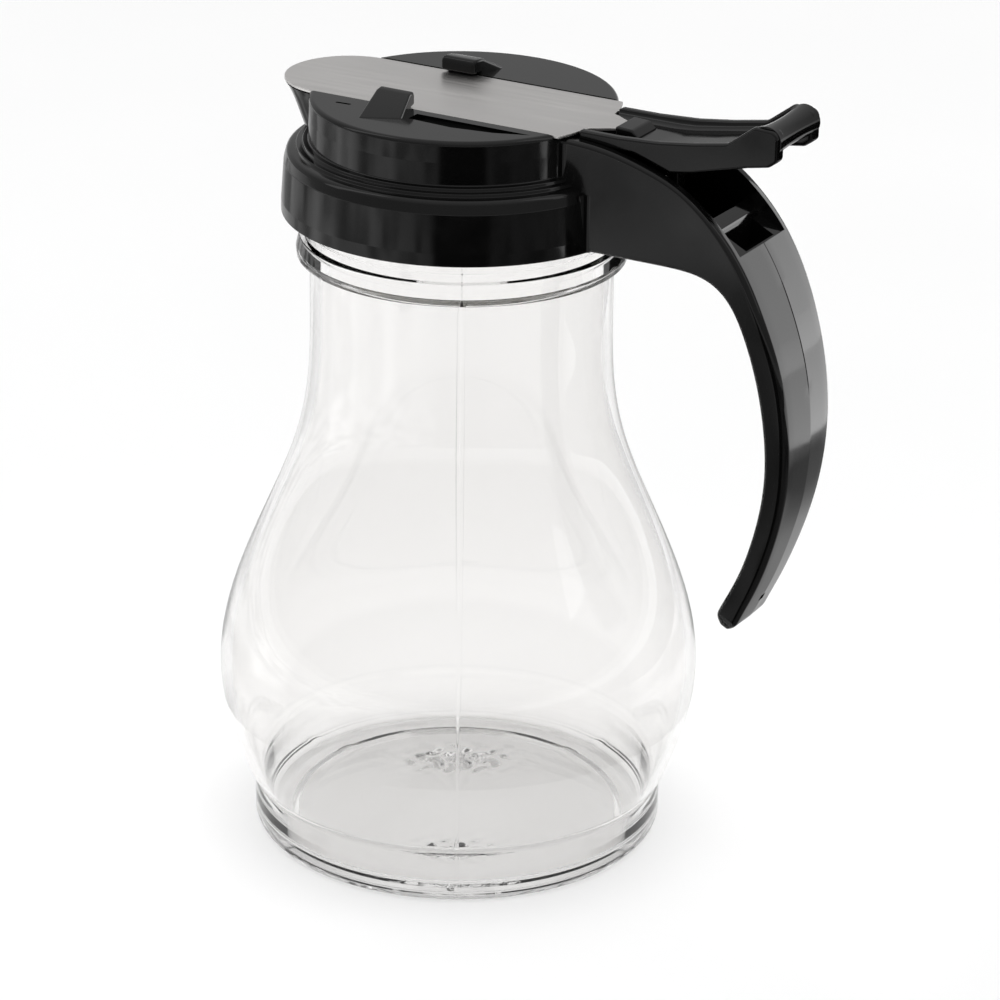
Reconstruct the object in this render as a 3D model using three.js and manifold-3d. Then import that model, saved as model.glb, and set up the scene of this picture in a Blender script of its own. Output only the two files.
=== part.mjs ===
// A one-hand syrup and dressing server: a clear pear-shaped jar with a screw-on pouring top. A flat steel
// gate lies in the deck and closes the spout. A thumb slider over the handle draws the gate back, and a
// spring pulls it shut again. Millimetres, +Z up, +X from the jar towards the handle.
import * as THREE from "three";
import { mergeVertices } from "three/addons/utils/BufferGeometryUtils.js";
import Module from "manifold-3d";

const wasm = await Module();
wasm.setup();

const GAP = 0.3; // running and assembly clearance
const AROUND = 48; // facets round a full turn of the large round parts

// Jar
const FOOT_R = 39.8;
const FOOT_H = 11.6;
const RECESS_R = 33;
const RECESS_H = 0.8;
const FLOOR_H = 2.8;
const WALL = 2;
const BELLY_R = 46.4;
const NECK_R = 28.7;
const BEAD_Z = 117.5;
const BEAD_R = 31.2;
const FINISH_Z = 122.6; // start of the threaded finish
const FINISH_R = 29.2;
const MOUTH_R = 26.2;
const LIP_Z = 134.6;

// Screw thread: a round bead on each side
const LEAD = 4;
const THREAD_TURNS = 1.25;
const BEAD_SIZE = 1.1;
const JAR_THREAD_Z = 126.2;
const TOP_THREAD_R = 30.9;

// Top
const GASKET_H = 1.4;
const COLLAR_Z = 126.3;
const COLLAR_R = 33.9;
const COLLAR_BORE = 31.3;
const COLLAR_TOP_Z = 138.2;
const TOWER_Z = 139.6;
const TOWER_R = 28.8;
const TOWER_BORE = 26.6;
const DECK_Z = 148;
const TRACK_Z = 147; // floor of the recess that the gate runs in
const DECK_UNDER_Z = 145;

// Gate and spout
const GATE_HALF = 12.3;
const GATE_T = 0.6;
const GATE_Z = TRACK_Z + GAP;
const NOSE_X = -24.8; // centre of the gate's round nose
const GATE_REAR_R = 29.6;
const TONGUE_ROOT_HALF = 4.6;
const TONGUE_HALF = 2.3;
const TONGUE_X = [34, 36.6]; // where the tongue's taper ends, and its tip
const SPOUT_HALF = GATE_HALF - 0.4;
const SPOUT_WALL = 1.7;
const SPOUT_Z = 138;
const SPOUT_SLOPE = 0.5; // how far the spout's nose moves out for each millimetre of height
const POUR_Z = 140;
const POUR_REAR_X = -13;
const HOOK_X = [-11.5, -4.1];
const HOOK_SKEW = 0.25; // how far a hook's foot lies towards the handle for each millimetre outwards

// Handle
const HANDLE_HALF = 11;
const CHANNEL_HALF = 9;
const CHANNEL_FLOOR_Z = 128.6;
const CROSS_WALL_X = [54.8, 57.4];
const CROSS_WALL_Z = 134.4;
const SHAFT_HALF = 5.5;
const HANDLE_BACK_X = 73.1;

// Slider
const SLIDER_HALF = CHANNEL_HALF - GAP;
const SLIDER_WALL = 1.8;
const SLIDER_FRONT_R = TOWER_R + 1.1;
const BAR = { x: 66.4, z: 152.2, r: 2.8 };
const SPRING_Z = 137.9;
const SPRING_X = [34.2, 43.4];
const SPRING_R = 1.5;
const WIRE_R = 0.3;
const POST_HALF = 1.5;
const POST_Z = SPRING_Z - SPRING_R - WIRE_R;
const RIVET = { x: 35.4, r: 0.9, headR: 1.6, headZ: 145, shankZ: 145.6, topZ: 148.2 };

// The origin is under the middle of the bounding box, so the jar's axis stands off it.
const JAR_AXIS_X = (BELLY_R - HANDLE_BACK_X) / 2;

// Geometry helpers

function solid(geometry) {
  const bare = geometry.clone();
  bare.deleteAttribute("normal");
  bare.deleteAttribute("uv");
  const merged = mergeVertices(bare, 1e-4);
  return new wasm.Manifold(
    new wasm.Mesh({
      numProp: 3,
      vertProperties: merged.attributes.position.array,
      triVerts: new Uint32Array(merged.index.array),
    }),
  );
}

// A turned solid about +Z from [radius, height] points.
function turned(profile, around = AROUND) {
  const points = profile.map(([r, z]) => new THREE.Vector2(r, z));
  const made = solid(new THREE.LatheGeometry(points, around).rotateX(Math.PI / 2));
  if (made.volume() > 0) return made;
  return solid(new THREE.LatheGeometry(points.reverse(), around).rotateX(Math.PI / 2));
}

// A plate whose outline is drawn in X and Y, from z0 to z1.
function plate(shape, z0, z1) {
  const geometry = new THREE.ExtrudeGeometry(shape, {
    depth: z1 - z0,
    bevelEnabled: false,
    curveSegments: 12,
  });
  return solid(geometry.translate(0, 0, z0));
}

// A slab whose outline is drawn in X and Z, from y0 to y1.
function slab(shape, y0, y1) {
  const geometry = new THREE.ExtrudeGeometry(shape, {
    depth: y1 - y0,
    bevelEnabled: false,
    curveSegments: 6,
  });
  return solid(geometry.rotateX(Math.PI / 2).translate(0, y1, 0));
}

function block([x0, x1], [y0, y1], [z0, z1]) {
  const geometry = new THREE.BoxGeometry(x1 - x0, y1 - y0, z1 - z0);
  return solid(geometry.translate((x0 + x1) / 2, (y0 + y1) / 2, (z0 + z1) / 2));
}

function polygon(points) {
  return new THREE.Shape(points.map(([x, y]) => new THREE.Vector2(x, y)));
}

function vectors(points) {
  return points.map(([x, y]) => new THREE.Vector2(x, y));
}

class Helix extends THREE.Curve {
  constructor(radius, start, lead, turns) {
    super();
    Object.assign(this, { radius, start, lead, turns });
  }

  getPoint(t, target = new THREE.Vector3()) {
    const angle = t * this.turns * 2 * Math.PI;
    const z = this.start + t * this.turns * this.lead;
    return target.set(this.radius * Math.cos(angle), this.radius * Math.sin(angle), z);
  }
}

// A round bar along a curve.
function rod(curve, radius, sides, steps) {
  const section = polygon(
    Array.from({ length: sides }, (_, i) => {
      const angle = (2 * Math.PI * (i + 0.5)) / sides;
      return [radius * Math.cos(angle), radius * Math.sin(angle)];
    }),
  );
  return new THREE.ExtrudeGeometry(section, { extrudePath: curve, steps, bevelEnabled: false });
}

function threadBead(radius, z) {
  const steps = Math.round(30 * THREAD_TURNS);
  return solid(rod(new Helix(radius, z, LEAD, THREAD_TURNS), BEAD_SIZE, 8, steps));
}

function mesh(name, made, color, roughness, metalness) {
  const { vertProperties, triVerts } = made.getMesh();
  const geometry = new THREE.BufferGeometry();
  geometry.setAttribute("position", new THREE.BufferAttribute(vertProperties, 3));
  geometry.setIndex(new THREE.BufferAttribute(triVerts, 1));
  geometry.computeVertexNormals();
  const material = new THREE.MeshStandardMaterial({ color, roughness, metalness });
  const part = new THREE.Mesh(geometry, material);
  part.name = name;
  return part;
}

// Jar

// The pear: foot wall, a shallow notch, the belly, and the long draw-in to the neck.
const BODY_CURVE = new THREE.SplineCurve(
  vectors([
    [41.2, 12.6],
    [44.8, 22.8],
    [BELLY_R, 34],
    [43.3, 50.3],
    [36.9, 66],
    [31.1, 81.4],
    [29, 94],
    [NECK_R, 108],
    [NECK_R, 116.4],
  ]),
).getPoints(18);

function makeJar() {
  const curve = BODY_CURVE.map((p) => [p.x, p.y]);
  const inside = BODY_CURVE.map((p) => [p.x - WALL, p.y]).reverse();
  const profile = [
    [0, RECESS_H],
    [RECESS_R - 0.8, RECESS_H],
    [RECESS_R, 0],
    [FOOT_R - 1.3, 0],
    [FOOT_R - 0.4, 0.4],
    [FOOT_R, 1.3],
    [FOOT_R, FOOT_H],
    ...curve,
    [NECK_R + 1.1, BEAD_Z - 0.4],
    [BEAD_R, BEAD_Z],
    [BEAD_R, BEAD_Z + 1.2],
    [BEAD_R - 0.4, BEAD_Z + 3.9],
    [FINISH_R + 0.3, FINISH_Z - 0.6],
    [FINISH_R, FINISH_Z],
    [FINISH_R, LIP_Z - 0.4],
    [FINISH_R - 0.4, LIP_Z],
    [MOUTH_R, LIP_Z],
    [MOUTH_R, FINISH_Z],
    ...inside,
    [FOOT_R - WALL - 0.4, FOOT_H - 0.8],
    [FOOT_R - WALL - 0.8, FLOOR_H + 2],
    [FOOT_R - WALL - 2.4, FLOOR_H],
    [0, FLOOR_H],
  ];
  return turned(profile).add(threadBead(FINISH_R, JAR_THREAD_Z));
}

function makeGasket() {
  const low = LIP_Z + GAP;
  return turned([
    [MOUTH_R, low],
    [TOP_THREAD_R - 0.4, low],
    [TOP_THREAD_R - 0.4, low + GASKET_H],
    [MOUTH_R, low + GASKET_H],
    [MOUTH_R, low],
  ]);
}

// Top: collar, ledges, tower, deck, spout, hooks and handle in one moulding

const COLLAR_ROOF_Z = LIP_Z + GASKET_H + 2 * GAP;

function makeShell() {
  const profile = [
    [0, DECK_UNDER_Z],
    [TOWER_BORE, DECK_UNDER_Z],
    [TOWER_BORE, COLLAR_ROOF_Z],
    [COLLAR_BORE, COLLAR_ROOF_Z],
    [COLLAR_BORE, COLLAR_Z],
    [COLLAR_R, COLLAR_Z],
    [COLLAR_R, COLLAR_Z + 2],
    [33.5, 136.6],
    [33.2, 137.7],
    [32.4, COLLAR_TOP_Z],
    [31.2, COLLAR_TOP_Z],
    [31, 138.9],
    [30, 139],
    [29.8, TOWER_Z],
    [TOWER_R, TOWER_Z + 0.1],
    [TOWER_R, DECK_Z - 0.5],
    [TOWER_R - 0.3, DECK_Z],
    [0, DECK_Z],
  ];
  return turned(profile);
}

// A round-nosed outline with straight sides, from the nose back to xRear.
function noseShape(centre, radius, xRear) {
  const shape = new THREE.Shape();
  shape.moveTo(xRear, -radius);
  shape.lineTo(xRear, radius);
  shape.lineTo(centre, radius);
  shape.absarc(centre, 0, radius, Math.PI / 2, (3 * Math.PI) / 2, false);
  shape.closePath();
  return shape;
}

// A nose-shaped column that leans out towards its top and is under the gate's nose at the track.
function leaningNose(radius, xRear, z0, z1) {
  const back = SPOUT_SLOPE * (TRACK_Z - z0);
  const geometry = new THREE.ExtrudeGeometry(noseShape(NOSE_X + back, radius, xRear + back), {
    depth: z1 - z0,
    bevelEnabled: false,
    curveSegments: 14,
  });
  const shear = new THREE.Matrix4().set(
    1, 0, -SPOUT_SLOPE, 0,
    0, 1, 0, 0,
    0, 0, 1, 0,
    0, 0, 0, 1,
  );
  return solid(geometry.applyMatrix4(shear).translate(0, 0, z0));
}

// One deck hook: a ramp that rises from the deck and reaches over the gate's edge.
function makeHook(side) {
  const rim = 21;
  const tip = GATE_HALF - 1.6;
  const lift = GATE_Z + GATE_T + GAP;
  const outline = polygon([
    [rim, DECK_Z - 1],
    [rim, DECK_Z],
    [tip + 1.6, DECK_Z + 3],
    [tip + 0.7, DECK_Z + 3],
    [tip, DECK_Z + 2.4],
    [tip, lift],
    [GATE_HALF + GAP, lift],
    [GATE_HALF + GAP, DECK_Z - 1],
  ]);
  const geometry = new THREE.ExtrudeGeometry(outline, {
    depth: HOOK_X[1] - HOOK_X[0],
    bevelEnabled: false,
  });
  // Outline X is the distance from the gate's centre line, and its Y is height.
  geometry.rotateX(Math.PI / 2).rotateZ(Math.PI / 2).translate(HOOK_X[0] - HOOK_SKEW * tip, 0, 0);
  const skew = new THREE.Matrix4().set(
    1, HOOK_SKEW, 0, 0,
    0, 1, 0, 0,
    0, 0, 1, 0,
    0, 0, 0, 1,
  );
  geometry.applyMatrix4(skew);
  const made = solid(geometry);
  return side > 0 ? made : made.mirror([0, 1, 0]);
}

const HANDLE_OUTER = [
  [28, 146.9],
  [34.5, 146.5],
  [43.2, 144.3],
  [51.6, 140.4],
  [58.6, 134.3],
  [64.4, 127.1],
  [69.5, 116.3],
  [72.4, 104.6],
  [73.1, 96.5],
  [71.5, 80.7],
  [67.3, 67.4],
  [63.4, 59.4],
];
const HANDLE_INNER = [
  [59.3, 59.2],
  [63.3, 67.4],
  [67.3, 80.7],
  [68.7, 93],
  [67.6, 104.6],
  [64.5, 116.3],
  [60.8, 122.6],
  [56, 125.6],
  [51, COLLAR_Z],
];

function handleShape() {
  const shape = new THREE.Shape();
  shape.moveTo(...HANDLE_OUTER[0]);
  shape.splineThru(vectors(HANDLE_OUTER.slice(1)));
  shape.bezierCurveTo(61.9, 56.2, 58, 56.2, ...HANDLE_INNER[0]);
  shape.splineThru(vectors(HANDLE_INNER.slice(1)));
  shape.lineTo(28, COLLAR_Z);
  shape.closePath();
  return shape;
}

// The handle's width, seen along X: parallel at the root, narrowing down the grip.
function handleWidth() {
  const half = [
    [HANDLE_HALF, 150],
    [HANDLE_HALF, 126],
    [9, 101],
    [7.2, 81],
    [6.1, 55],
  ];
  const mirrored = half.map(([y, z]) => [-y, z]).reverse();
  const geometry = new THREE.ExtrudeGeometry(polygon([...half, ...mirrored]), {
    depth: 60,
    bevelEnabled: false,
  });
  return solid(geometry.rotateX(Math.PI / 2).rotateZ(Math.PI / 2).translate(20, 0, 0));
}

// The shaft behind the cross wall, and the sill on each side that slopes out to the grip's back.
function makePocket() {
  const shaft = polygon([
    [CROSS_WALL_X[1], 134],
    [CROSS_WALL_X[1], 127.4],
    [61, 126.2],
    [62.9, 127.4],
    [62, 130.6],
    [62, 134],
  ]);
  const sill = polygon([
    [CROSS_WALL_X[0] - 1, CROSS_WALL_Z],
    [CROSS_WALL_X[1], CROSS_WALL_Z],
    [CROSS_WALL_X[1], 132.8],
    [62.4, 130.4],
    [66, 132],
    [60, 140],
    [CROSS_WALL_X[0] - 1, 140],
  ]);
  return slab(shaft, -SHAFT_HALF, SHAFT_HALF).add(slab(sill, -CHANNEL_HALF, CHANNEL_HALF));
}

function makeHandle() {
  const body = slab(handleShape(), -HANDLE_HALF, HANDLE_HALF).intersect(handleWidth());
  const channel = block([20, CROSS_WALL_X[0]], [-CHANNEL_HALF, CHANNEL_HALF], [CHANNEL_FLOOR_Z, 150]);
  return body.subtract(channel).subtract(makePocket());
}

// The wedge-shaped groove beside the near hook, in X and Y.
const GROOVE = [
  [-1, -17.6],
  [8, -18.2],
  [16, -17],
  [22, -14.8],
  [-1, -14.8],
];

function makeTop() {
  const inside = turned([
    [0, COLLAR_Z - 5],
    [COLLAR_R - 1, COLLAR_Z - 5],
    [COLLAR_R - 1, COLLAR_ROOF_Z],
    [TOWER_R - 1, COLLAR_ROOF_Z + 1],
    [TOWER_R - 1, DECK_Z + 2],
    [0, DECK_Z + 2],
  ]);
  const spout = leaningNose(SPOUT_HALF, POUR_REAR_X, SPOUT_Z, TRACK_Z).subtract(inside);
  const pour = leaningNose(SPOUT_HALF - SPOUT_WALL, POUR_REAR_X, POUR_Z, DECK_Z);
  const track = block([-50, 40], [-GATE_HALF - GAP, GATE_HALF + GAP], [TRACK_Z, DECK_Z + 1]);
  const groove = plate(polygon(GROOVE), DECK_Z - 0.9, DECK_Z + 1);
  const vent = block([-17.6, -14.8], [-16.6, -15.9], [DECK_Z - 1, DECK_Z + 1]);
  const springPost = block([32, SPRING_X[0] - GAP], [-POST_HALF, POST_HALF], [COLLAR_TOP_Z - 1, SPRING_Z + 2]);
  // The collar's thread sits half a lead above the jar's.
  const thread = threadBead(TOP_THREAD_R, JAR_THREAD_Z + LEAD / 2);
  return makeShell()
    .add(spout)
    .add(makeHandle().subtract(inside))
    .add(springPost)
    .subtract(track)
    .subtract(pour)
    .subtract(groove)
    .subtract(vent)
    .add(makeHook(1))
    .add(makeHook(-1))
    .add(thread);
}

function makeGate() {
  const shape = new THREE.Shape();
  const reach = Math.asin(GATE_HALF / GATE_REAR_R);
  const neck = Math.asin(TONGUE_ROOT_HALF / GATE_REAR_R);
  shape.absarc(NOSE_X, 0, GATE_HALF, Math.PI / 2, (3 * Math.PI) / 2, false);
  shape.absarc(0, 0, GATE_REAR_R, -reach, -neck, false);
  shape.lineTo(TONGUE_X[0], -TONGUE_HALF);
  shape.lineTo(TONGUE_X[1], -TONGUE_HALF);
  shape.lineTo(TONGUE_X[1], TONGUE_HALF);
  shape.lineTo(TONGUE_X[0], TONGUE_HALF);
  shape.absarc(0, 0, GATE_REAR_R, neck, reach, false);
  shape.closePath();
  return plate(shape, GATE_Z, GATE_Z + GATE_T).subtract(rivetHole());
}

function rivetHole() {
  const radius = RIVET.r + GAP;
  return turned(
    [
      [0, RIVET.headZ],
      [radius, RIVET.headZ],
      [radius, RIVET.topZ + GAP],
      [0, RIVET.topZ + GAP],
    ],
    16,
  ).translate(RIVET.x, 0, 0);
}

// The rivet holds the gate's tongue in the slider's slot. Its head is under the slider.
function makeRivet() {
  const profile = [
    [0, RIVET.headZ],
    [RIVET.headR - 0.3, RIVET.headZ],
    [RIVET.headR, RIVET.headZ + 0.3],
    [RIVET.headR, RIVET.shankZ],
    [RIVET.r, RIVET.shankZ],
    [RIVET.r, RIVET.topZ],
    [0, RIVET.topZ],
  ];
  return turned(profile, 16).translate(RIVET.x, 0, 0);
}

// The slider's side wall in X and Z: thin at the front, with a skirt below and a lug at the rear.
const SLIDER_SIDE = [
  [29, 145.9],
  [40.4, 145.9],
  [47.8, 143.4],
  [52, 144.1],
  [63.1, 147],
  [68, 147.8],
  [69.2, 149],
  [69.2, 153.2],
  [68.4, 154.6],
  [64.4, 154.9],
  [63.4, 154.2],
  [59, 150.7],
  [52, 149.3],
  [45, 148.4],
  [29, 148.3],
];
const SLIDER_FLOOR = [
  [29, 145.9],
  [45.2, 145.9],
  [62.8, 149],
  [62.8, 150.1],
  [45, 147],
  [29, 147],
];
// The hump over the gate's tongue.
const SLIDER_LIP = [
  [33.8, 146.4],
  [43, 146.4],
  [43, 147.2],
  [37.6, 148.8],
  [34.6, 148.9],
  [33.8, 148.4],
];

function makeSlider() {
  const inner = SLIDER_HALF - SLIDER_WALL;
  const bar = new THREE.CylinderGeometry(BAR.r, BAR.r, 2 * SLIDER_HALF - 1, 16);
  const post = block([SPRING_X[1] + GAP, SPRING_X[1] + 2.4], [-POST_HALF, POST_HALF], [POST_Z, 147]);
  const front = turned([
    [0, 140],
    [SLIDER_FRONT_R, 140],
    [SLIDER_FRONT_R, 150],
    [0, 150],
  ]);
  const slot = block([30, TONGUE_X[1] + GAP], [-TONGUE_HALF - GAP, TONGUE_HALF + GAP], [147, 148.2]);
  return slab(polygon(SLIDER_SIDE), -SLIDER_HALF, -inner)
    .add(slab(polygon(SLIDER_SIDE), inner, SLIDER_HALF))
    .add(slab(polygon(SLIDER_FLOOR), -SLIDER_HALF, SLIDER_HALF))
    .add(solid(bar.translate(BAR.x, 0, BAR.z)))
    .add(post)
    .add(slab(polygon(SLIDER_LIP), -inner, inner))
    .subtract(slot)
    .subtract(rivetHole())
    .subtract(front);
}

function makeSpring() {
  const turns = 13;
  const length = SPRING_X[1] - SPRING_X[0] - 2 * WIRE_R;
  const coil = rod(new Helix(SPRING_R, 0, length / turns, turns), WIRE_R, 5, turns * 12);
  return solid(coil.rotateY(Math.PI / 2).translate(SPRING_X[0] + WIRE_R, 0, SPRING_Z));
}

const server = new THREE.Group();
server.position.x = JAR_AXIS_X;
server.add(
  mesh("jar", makeJar(), 0xf2f4f2, 0.08, 0),
  mesh("jar_gasket", makeGasket(), 0xd9d6cc, 0.7, 0),
  mesh("top_body", makeTop(), 0x0b0b0c, 0.18, 0),
  mesh("gate", makeGate(), 0xc9c7c3, 0.32, 1),
  mesh("thumb_slider", makeSlider(), 0x0c0c0d, 0.2, 0),
  mesh("gate_rivet", makeRivet(), 0xbdbcb8, 0.3, 1),
  mesh("return_spring", makeSpring(), 0xb4b4b0, 0.3, 1),
);

const part = new THREE.Group();
part.add(server);

export default part;
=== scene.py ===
"""A syrup and dressing server with a retracting top: a clear pear-shaped jar, a gloss black screw-on top
with a C handle, a steel gate and the thumb slider that draws it back. Shape sizes are in millimetres from
the jar's axis, as (x, y, z) with x towards the handle. Pieces are written to the scene in metres."""
import math

import bmesh
import bpy
import numpy as np
from mathutils import Matrix, Vector


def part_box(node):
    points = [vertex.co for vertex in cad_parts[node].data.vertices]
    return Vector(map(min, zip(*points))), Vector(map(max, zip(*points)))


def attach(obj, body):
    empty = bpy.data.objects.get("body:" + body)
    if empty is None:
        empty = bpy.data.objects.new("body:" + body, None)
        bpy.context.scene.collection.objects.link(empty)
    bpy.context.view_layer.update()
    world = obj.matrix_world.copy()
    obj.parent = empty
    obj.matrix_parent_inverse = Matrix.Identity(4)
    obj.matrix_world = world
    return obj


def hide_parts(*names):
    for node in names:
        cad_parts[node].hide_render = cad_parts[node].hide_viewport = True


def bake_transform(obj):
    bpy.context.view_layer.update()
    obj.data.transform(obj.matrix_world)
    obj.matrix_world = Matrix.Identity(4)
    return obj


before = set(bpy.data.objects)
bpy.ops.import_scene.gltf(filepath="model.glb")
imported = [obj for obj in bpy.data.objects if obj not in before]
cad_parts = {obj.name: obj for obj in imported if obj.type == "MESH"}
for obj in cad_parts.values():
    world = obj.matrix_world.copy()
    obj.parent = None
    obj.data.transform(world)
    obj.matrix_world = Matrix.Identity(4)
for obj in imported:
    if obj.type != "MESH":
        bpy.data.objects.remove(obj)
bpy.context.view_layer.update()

MM = 0.001
JAR_LOW, JAR_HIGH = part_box("jar")
AXIS_X = (JAR_LOW.x + JAR_HIGH.x) / 2
DECK_Z = 148.0
TRACK_Z = 147.0
COLLAR_Z = 126.3
TAU = 2 * math.pi


# Points and curves


def rounded(points, closed=True):
    """An outline of (x, y, corner radius) points with its corners turned into arcs."""
    made = []
    count = len(points)
    for i, (x, y, radius) in enumerate(points):
        here = Vector((x, y))
        if radius == 0 or (not closed and i in (0, count - 1)):
            made.append((x, y))
            continue
        before = Vector(points[i - 1][:2]) - here
        after = Vector(points[(i + 1) % count][:2]) - here
        half = before.angle(after) / 2
        reach = min(radius / math.tan(half), 0.48 * before.length, 0.48 * after.length)
        radius = reach * math.tan(half)
        centre = here + (before.normalized() + after.normalized()).normalized() * (radius / math.sin(half))
        start = here + before.normalized() * reach - centre
        sweep = start.angle_signed(here + after.normalized() * reach - centre)
        steps = max(2, math.ceil(abs(sweep) / math.radians(15)))
        for k in range(steps + 1):
            arm = Matrix.Rotation(-sweep * k / steps, 2) @ start
            made.append(tuple(centre + arm))
    return made


def spline(points, per_span):
    """A smooth curve through rows of numbers, as a natural cubic over the distance along the first two."""
    rows = np.array(points, float)
    along = np.concatenate([[0], np.cumsum(np.hypot(*np.diff(rows[:, :2], axis=0).T))])
    gap = np.diff(along)
    count = len(rows)
    system = np.eye(count)
    right = np.zeros_like(rows)
    for i in range(1, count - 1):
        system[i, i - 1 : i + 2] = gap[i - 1], 2 * (gap[i - 1] + gap[i]), gap[i]
        right[i] = 6 * ((rows[i + 1] - rows[i]) / gap[i] - (rows[i] - rows[i - 1]) / gap[i - 1])
    bend = np.linalg.solve(system, right)
    made = []
    for i in range(count - 1):
        for t in np.arange(per_span) / per_span:
            a, b = (1 - t) * gap[i], t * gap[i]
            made.append(
                (bend[i] * a**3 + bend[i + 1] * b**3) / (6 * gap[i])
                + (rows[i] / gap[i] - bend[i] * gap[i] / 6) * a
                + (rows[i + 1] / gap[i] - bend[i + 1] * gap[i] / 6) * b
            )
    made.append(rows[-1])
    return [tuple(float(v) for v in row) for row in made]


def arc(cx, cy, radius, start, end, steps):
    """Points on a circle from one angle to another, in degrees."""
    angles = [math.radians(start + (end - start) * k / steps) for k in range(steps + 1)]
    return [(cx + radius * math.cos(a), cy + radius * math.sin(a)) for a in angles]


# Meshes


def new_object(name, verts, faces):
    mesh = bpy.data.meshes.new(name)
    mesh.from_pydata([(AXIS_X + x * MM, y * MM, z * MM) for x, y, z in verts], [], faces)
    work = bmesh.new()
    work.from_mesh(mesh)
    bmesh.ops.recalc_face_normals(work, faces=work.faces)
    work.to_mesh(mesh)
    work.free()
    obj = bpy.data.objects.new(name, mesh)
    bpy.context.scene.collection.objects.link(obj)
    return obj


def bands(rows, closed_rows=False):
    """Faces between neighbouring rows of vertex numbers. A row of one number is a pole."""
    faces = []
    pairs = list(zip(rows, rows[1:])) + ([(rows[-1], rows[0])] if closed_rows else [])
    for low, high in pairs:
        count = max(len(low), len(high))
        for i in range(count):
            j = (i + 1) % count
            corners = [low[i % len(low)], low[j % len(low)], high[j % len(high)], high[i % len(high)]]
            faces.append(list(dict.fromkeys(corners)))
    return faces


def lathe(name, profile, angles=None, closed=False, extra=None):
    """A solid turned about the jar's axis. extra gives what to add to a radius at a row and an angle."""
    if angles is None:
        angles = [TAU * k / 144 for k in range(144)]
    verts, rows = [], []
    for row, (radius, z) in enumerate(profile):
        if radius < 1e-6:
            rows.append([len(verts)])
            verts.append((0, 0, z))
            continue
        rows.append(range(len(verts), len(verts) + len(angles)))
        for a in angles:
            r = radius + (extra(row, a) if extra else 0)
            verts.append((r * math.cos(a), r * math.sin(a), z))
    return new_object(name, verts, bands(rows, closed))


def loft(name, rings):
    """A closed solid through rings of equally many points, with flat ends."""
    verts = [p for ring in rings for p in ring]
    size = len(rings[0])
    rows = [range(i * size, (i + 1) * size) for i in range(len(rings))]
    return new_object(name, verts, bands(rows) + [list(rows[0]), list(rows[-1])])


def plate(name, outline, z0, z1):
    return loft(name, [[(x, y, z) for x, y in outline] for z in (z0, z1)])


def slab(name, outline, y0, y1):
    return loft(name, [[(x, y, z) for x, z in outline] for y in (y0, y1)])


def block(name, xs, ys, zs, radius=0.0):
    """A box with rounded upright corners."""
    corners = [(xs[0], ys[0]), (xs[1], ys[0]), (xs[1], ys[1]), (xs[0], ys[1])]
    return plate(name, rounded([(x, y, radius) for x, y in corners]), *zs)


def tube(name, centres, radius, sides):
    """A round bar along a list of points."""
    path = [Vector(p) for p in centres]
    normal = Vector((0, 0, 1))
    rings = []
    for i, here in enumerate(path):
        tangent = (path[min(i + 1, len(path) - 1)] - path[max(i - 1, 0)]).normalized()
        normal = (normal - tangent * normal.dot(tangent)).normalized()
        other = tangent.cross(normal)
        turn = [TAU * k / sides for k in range(sides)]
        rings.append([tuple(here + (normal * math.cos(a) + other * math.sin(a)) * radius) for a in turn])
    return loft(name, rings)


def settle(obj):
    """Applies the object's modifiers to its mesh."""
    graph = bpy.context.evaluated_depsgraph_get()
    old = obj.data
    obj.data = bpy.data.meshes.new_from_object(obj.evaluated_get(graph))
    obj.modifiers.clear()
    bpy.data.meshes.remove(old)
    return obj


def softened(obj, width, segments=3, angle=35):
    """Rounds the edges sharper than an angle."""
    bevel = obj.modifiers.new("edges", "BEVEL")
    bevel.width = width * MM
    bevel.segments = segments
    bevel.limit_method = "ANGLE"
    bevel.angle_limit = math.radians(angle)
    bevel.use_clamp_overlap = True
    return settle(obj)


def combine(obj, tools, operation):
    for tool in tools:
        cut = obj.modifiers.new(operation, "BOOLEAN")
        cut.operation = operation
        cut.solver = "MANIFOLD"
        cut.object = tool
        bpy.context.view_layer.update()
        settle(obj)
        bpy.data.objects.remove(tool)
    return obj


def join(obj, *tools):
    return combine(obj, tools, "UNION")


def cut(obj, *tools):
    return combine(obj, tools, "DIFFERENCE")


def smooth(obj, angle=32):
    """Shades smooth, with edges over an angle kept sharp and flats kept flat."""
    mesh = obj.data
    mesh.polygons.foreach_set("use_smooth", [True] * len(mesh.polygons))
    mesh.set_sharp_from_angle(angle=math.radians(angle))
    weighted = obj.modifiers.new("normals", "WEIGHTED_NORMAL")
    weighted.keep_sharp = True
    return obj


# Materials


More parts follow.
